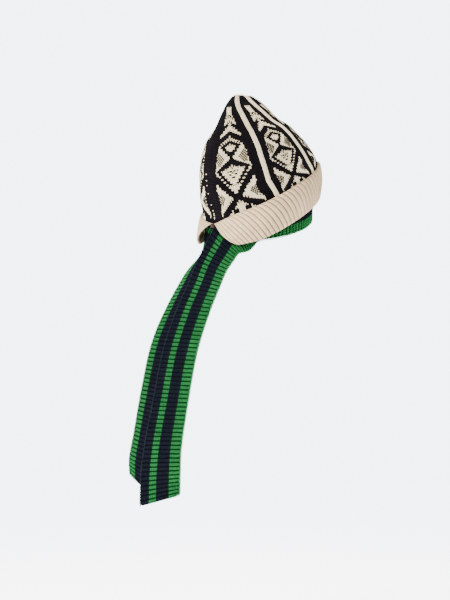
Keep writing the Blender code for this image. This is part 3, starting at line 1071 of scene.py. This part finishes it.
TAIL_ROUTE = {
    "drop": (0.02, 0.07, 0.14, 0.22, 0.31, 0.45, 0.63, 0.80, 0.90, 1.00),
    "reach": (-0.01, 0.08, 0.205, 0.32, 0.475, 0.665, 0.81, 0.94, 0.985, 1.00),
    "near_overlap": (-0.45, 0.0, 0.5, 0.8, 1.0, 1.0, 1.0, 1.0, 1.0, 1.0),
    "far_overlap": (0.3, 0.6, 0.8, 0.9, 1.0, 1.0, 1.0, 0.9, 0.8, 0.6),
    "near_behind": (0.0,) * 10,
    "far_behind": (0.6, 0.75, 0.85, 0.9, 1.0, 1.0, 1.05, 1.1, 1.15, 1.2),
    "near_turn": (8.0, 8.0, 8.5, 10.0, 14.0, 17.0, 19.0, 24.0, 29.0, 35.0),
    "far_turn": (6.0, 4.0, 3.0, 1.0, 0.0, -2.0, -3.0, -1.0, -3.0, -3.0),
    "near_dip": (-36.0, -24.0, -14.0, -7.0, -3.0, 0.0, 2.0, 4.0, 7.0, 17.0),
    "far_dip": (-36.0, -28.0, -17.0, -9.0, -4.0, 0.0, 2.0, 4.0, 9.0, 22.0),
}


def rib_direction(turn, dip):
    """The way a rib points from the navy edge to the green edge."""
    turn, dip = math.radians(turn), math.radians(dip)
    return np.array([math.cos(dip) * math.cos(turn), math.cos(dip) * math.sin(turn), math.sin(dip)])


def inside_point(angle, up_share):
    """The navy edge where the scarf lies against the inside of the hat."""
    inset = CROWN_WALL + SCARF_EASE + CLEARANCE + SCARF_WALL / 2 + SCARF_RIB_DEPTH
    return layer_point(SCARF_WIDTH * up_share, math.radians(angle), -inset)


def tail_edges(side):
    """Both edges of one tail, from the split down. The near side is +1 and the far side -1."""
    name = "near" if side > 0 else "far"
    top = layer_point(CUFF_HEIGHT, 0.0, CUFF_WALL / 2)
    drop_all = TAIL_DROP * (1.0 if side > 0 else FAR_TAIL_SHARE)
    columns = ("drop", "reach", name + "_overlap", name + "_behind", name + "_turn", name + "_dip")
    edges = []
    for drop, reach, cross, behind, turn, dip in zip(*(TAIL_ROUTE[column] for column in columns)):
        forward = TAIL_REACH * reach - TAIL_STANDOFF * behind
        navy = top + np.array([-TAIL_OVERLAP * cross, -forward, -drop_all * drop])
        edges.append((navy, navy + SCARF_WIDTH * rib_direction(turn, dip)))
    return edges


def half_scarf(side):
    """Both edges from the middle of the front round to the end of one tail."""
    edges = []
    for angle, up, lean in reversed(list(zip(*BAND_ROUTE.values()))):
        navy = inside_point(angle, up)
        edges.append((navy, navy + SCARF_WIDTH * rib_direction(angle + 90.0, lean - 90.0)))
    for angle, up, turn, dip, width in zip(*TURN_ROUTE.values()):
        navy = inside_point(angle, up)
        edges.append((navy, navy + SCARF_WIDTH * width * rib_direction(turn, dip)))
    edges += tail_edges(side)
    mirror = np.array([side, 1.0, 1.0])
    return [(navy * mirror, green * mirror) for navy, green in edges]


def smooth_rows(rows):
    """Points along a smooth curve through all rows, each row being both edges in one vector."""
    rows = np.array([np.concatenate(row) for row in rows])
    gaps = np.linalg.norm(np.diff(rows, axis=0), axis=1) ** 0.5
    knots = np.concatenate([[0.0], np.cumsum(gaps)])
    slopes = np.gradient(rows, knots, axis=0)
    fine = []
    for i in range(len(rows) - 1):
        span = knots[i + 1] - knots[i]
        for s in np.linspace(0, 1, CURVE_PIECES, endpoint=False):
            fine.append(curve_between(s, rows[i], rows[i + 1], slopes[i], slopes[i + 1], span))
    fine.append(rows[-1])
    return np.array(fine)


def measure_scarf():
    """The fine route, the run of its middle line, and where each tail begins."""
    near, far = half_scarf(1), half_scarf(-1)
    rows = smooth_rows(list(reversed(near)) + far[1:])
    middle = (rows[:, :3] + rows[:, 3:]) / 2
    run = np.concatenate([[0.0], np.cumsum(np.linalg.norm(np.diff(middle, axis=0), axis=1))])
    tail = run[(len(TAIL_ROUTE["drop"]) + 1) * CURVE_PIECES]
    return rows, run, tail


SCARF_ROWS, SCARF_RUN, TAIL_RUN = measure_scarf()
SCARF_LENGTH = float(SCARF_RUN[-1])
print("scarf:", round(SCARF_LENGTH, 3), "m along its middle,", round(TAIL_RUN, 3), "m of it a tail")

# %% [markdown]
# Any place on the scarf has two numbers: the run along it and the share across it, from the navy
# edge to the green one. The function below also gives the three directions there. The free ends
# have rounded corners, so near them the edges are pulled in along a quarter circle.

# %% A place on the scarf
def scarf_line(run):
    run = min(max(run, 0.0), SCARF_LENGTH)
    return np.array([np.interp(run, SCARF_RUN, SCARF_ROWS[:, k]) for k in range(6)])


def scarf_spot(run, share, step=0.002):
    """Place on the middle surface, and the directions along, across and out of the cloth."""
    line = scarf_line(run)
    here = line[:3] + (line[3:] - line[:3]) * share
    low, high = max(run - step, 0.0), min(run + step, SCARF_LENGTH)
    before, after = scarf_line(low), scarf_line(high)
    before = before[:3] * (1 - share) + before[3:] * share
    after = after[:3] * (1 - share) + after[3:] * share
    along = (after - before) / (high - low)
    across = line[3:] - line[:3]
    return here, along, across, unit(np.cross(across, along))


def end_pull(run):
    """How much of the width the rounded corner takes away, this far along the scarf."""
    beyond = TAIL_CORNER - min(run, SCARF_LENGTH - run)
    if beyond <= 0:
        return 0.0
    return (TAIL_CORNER - math.sqrt(TAIL_CORNER**2 - beyond**2)) / SCARF_WIDTH


here, along, across, out = scarf_spot(0.2, 0.5)
print("near tail, 0.2 m from its end:", [round(float(x), 3) for x in here])

# %% [markdown]
# The scarf's cloth is the thin sheet that the ribs are knitted into. It carries the four stripes
# as a pattern on its UV map, painted much darker than the yarn as shade, since it shows only in the
# grooves.

# %% Scarf cloth
STRIPES = (0.0, 0.225, 0.41, 0.705)  # where navy, green, navy and green begin, from the inner edge
CLOTH_WALL = 0.0012
CLOTH_STATIONS = 560
# painted shade: the cloth's stripes are darkened because they show only in the grooves between ribs
GROOVE_SHADE_GREEN = (0.001, 0.012, 0.003)
GROOVE_SHADE_NAVY = (0.0015, 0.0018, 0.003)
CLOTH_INSET = 0.004  # the cloth stops short of the selvedges, as a share of the width


def cloth_point(along, share):
    run = SCARF_LENGTH * along
    pull = end_pull(run) + CLOTH_INSET
    return scarf_spot(run, pull + (1 - 2 * pull) * share)[0]


def cloth_material():
    material, tree, wool, raised = new_wool("scarf_cloth", 0.2, knitted=False, sheen=0.0, gloss=0.01)
    uv = tree.add("UVMap").outputs["UV"]
    add_loops(tree, uv, 24.0, 600.0, wool, raised)
    across = tree.add("SeparateXYZ", {0: uv}).outputs["Y"]
    ramp = tree.add("ValToRGB", {"Fac": across})
    ramp.color_ramp.interpolation = "CONSTANT"
    while len(ramp.color_ramp.elements) < len(STRIPES):
        ramp.color_ramp.elements.new(0.5)
    for k, (start, stop) in enumerate(zip(STRIPES, ramp.color_ramp.elements)):
        stop.position = start
        stop.color = (*(GROOVE_SHADE_GREEN if k % 2 else GROOVE_SHADE_NAVY), 1.0)
    tree.link(ramp.outputs["Color"], wool.inputs["Colour"])
    return material


def make_scarf_cloth():
    cloth = shape_cloth("scarf_cloth", CLOTH_STATIONS, 6, cloth_point, CLOTH_WALL, 0.0)
    cloth.data.materials.append(cloth_material())
    return cloth


scarf_cloth = make_scarf_cloth()
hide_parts("scarf_band")
print("scarf cloth:", len(scarf_cloth.data.polygons), "faces")

# %% [markdown]
# The ribs cross the scarf from edge to edge. Each is two wales of loops side by side, with a
# groove before the next. A loop's colour depends on how far across the scarf it lies. Both faces
# are knitted, since a scarf has no wrong side. Inside the hat, where little shows, a rib is one
# broad wale.

# %% Knit the ribs
SCARF_KNIT_ROWS = 22
RIB_COUNT = round(SCARF_LENGTH / SCARF_RIB_PITCH)
RIB_STEP = SCARF_LENGTH / RIB_COUNT
WALE_WIDTH = 0.33  # of a rib
BROAD_WALE = 0.66
BROAD_DEPTH = 0.45
WALE_ROLL = 2.4  # how far the two wales of a rib turn away from each other
LOOP_LIFT = 0.0013
DRAWN_IN = 0.095  # of the width, which the last green stripe loses inside the hat
DRAWN_RUN = 0.10


def stripe_yarn(share, run):
    """Navy or green. Inside the hat the cloth is drawn out, and its last green stripe is narrower."""
    inside = min(run, SCARF_LENGTH - run) - TAIL_RUN
    drawn = DRAWN_IN * min(max(inside / DRAWN_RUN, 0.0), 1.0)
    starts = (*STRIPES[:3], STRIPES[3] + drawn)
    return int(np.searchsorted(starts, share, side="right") - 1) % 2


def rib_loops(spots, run, face, wales, rows):
    """The loops of one rib on one face."""
    width, depth = (WALE_WIDTH, WALE_WIDTH) if wales == 2 else (BROAD_WALE, BROAD_DEPTH)
    for k in range(wales):
        aside = (k - (wales - 1) / 2) * width * 1.02
        at = run + aside * RIB_STEP
        pull = end_pull(at)
        for row in range(rows):
            share = (row + 0.5) / rows
            if not pull <= share <= 1 - pull:
                continue
            here, along, across, out = scarf_spot(at, share)
            out = out * face
            ridge = unit(out + along * (aside * WALE_ROLL)) * RIB_STEP * depth
            spots.add(here + out * LOOP_LIFT, along * RIB_STEP * width * face, across / rows,
                      ridge, stripe_yarn(share, at))


def knit_scarf(name, first, last, wales, rows):
    spots = Spots()
    for face in (1, -1):
        for rib in range(first, last):
            rib_loops(spots, (rib + 0.5) * RIB_STEP, face, wales, rows)
    return lay_stitches(name, spots, [navy_yarn, green_yarn])


tail_ribs = round(TAIL_RUN / RIB_STEP)
near_tail_ribs = knit_scarf("near_tail_ribs", 0, tail_ribs, 2, SCARF_KNIT_ROWS)
far_tail_ribs = knit_scarf("far_tail_ribs", RIB_COUNT - tail_ribs, RIB_COUNT, 2, SCARF_KNIT_ROWS)
band_ribs = knit_scarf("inner_band_ribs", tail_ribs, RIB_COUNT - tail_ribs, 1, SCARF_KNIT_ROWS - 2)

# %% [markdown]
# A scarf's long edges end in a chain of firm loops, the selvedge, and its free ends are bound off
# with the same chain. The chain lies in the plane of the cloth and closes the ribs' ends.

# %% Selvedges
EDGE_LOOP = 0.0034
EDGE_RISE = 0.0022
EDGE_OUT = 0.0006  # the chain's middle lies this far outside the cloth's edge
END_LOOP = 0.0028
END_RISE = 0.0018


def knit_long_edges(spots):
    count = round(SCARF_LENGTH / EDGE_LOOP)
    for share, yarn, side in ((0.0, 0, -1.0), (1.0, 1, 1.0)):
        for k in range(count):
            run = (k + 0.5) * SCARF_LENGTH / count
            pull = end_pull(run)
            here, along, across, out = scarf_spot(run, pull + (1 - 2 * pull) * share)
            edge = unit(across) * side
            spots.add(here + edge * EDGE_OUT, out * EDGE_LOOP * side,
                      along * (SCARF_LENGTH / count), edge * EDGE_RISE, yarn)


def knit_free_ends(spots):
    count = round(SCARF_WIDTH / EDGE_LOOP)
    for run, side in ((EDGE_OUT, -1.0), (SCARF_LENGTH - EDGE_OUT, 1.0)):
        for k in range(2, count - 2):
            share = (k + 0.5) / count
            here, along, across, out = scarf_spot(run, share)
            spots.add(here, out * END_LOOP * -side, across / count,
                      unit(along) * END_RISE * side, stripe_yarn(share, run))


def knit_selvedges():
    spots = Spots()
    knit_long_edges(spots)
    knit_free_ends(spots)
    return lay_stitches("scarf_selvedges", spots, [navy_edge_highlight, green_yarn])


scarf_selvedges = knit_selvedges()

# %% [markdown]
# Last, the pieces are listed under the finish they share, each is attached to the root body,
# and their triangles are counted.

# %% Ride and triangle count
SLOTS = {
    "black_cream_jacquard": [crown_lining, *gores, seam_stripes, crown_tip, closing_stitches],
    "cream_rib": [rib_cuff, cuff_tack],
    "navy_green_rib": [scarf_cloth, near_tail_ribs, far_tail_ribs, band_ribs, scarf_selvedges],
}
for slot, pieces in SLOTS.items():
    for piece in pieces:
        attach(piece, "root")

total = 0
for pieces in SLOTS.values():
    for piece in pieces:
        piece.data.calc_loop_triangles()
        total += len(piece.data.loop_triangles)
        print(piece.name, len(piece.data.loop_triangles), "triangles")
print("all pieces:", total, "triangles")

# %% Update the scene
bpy.context.view_layer.update()
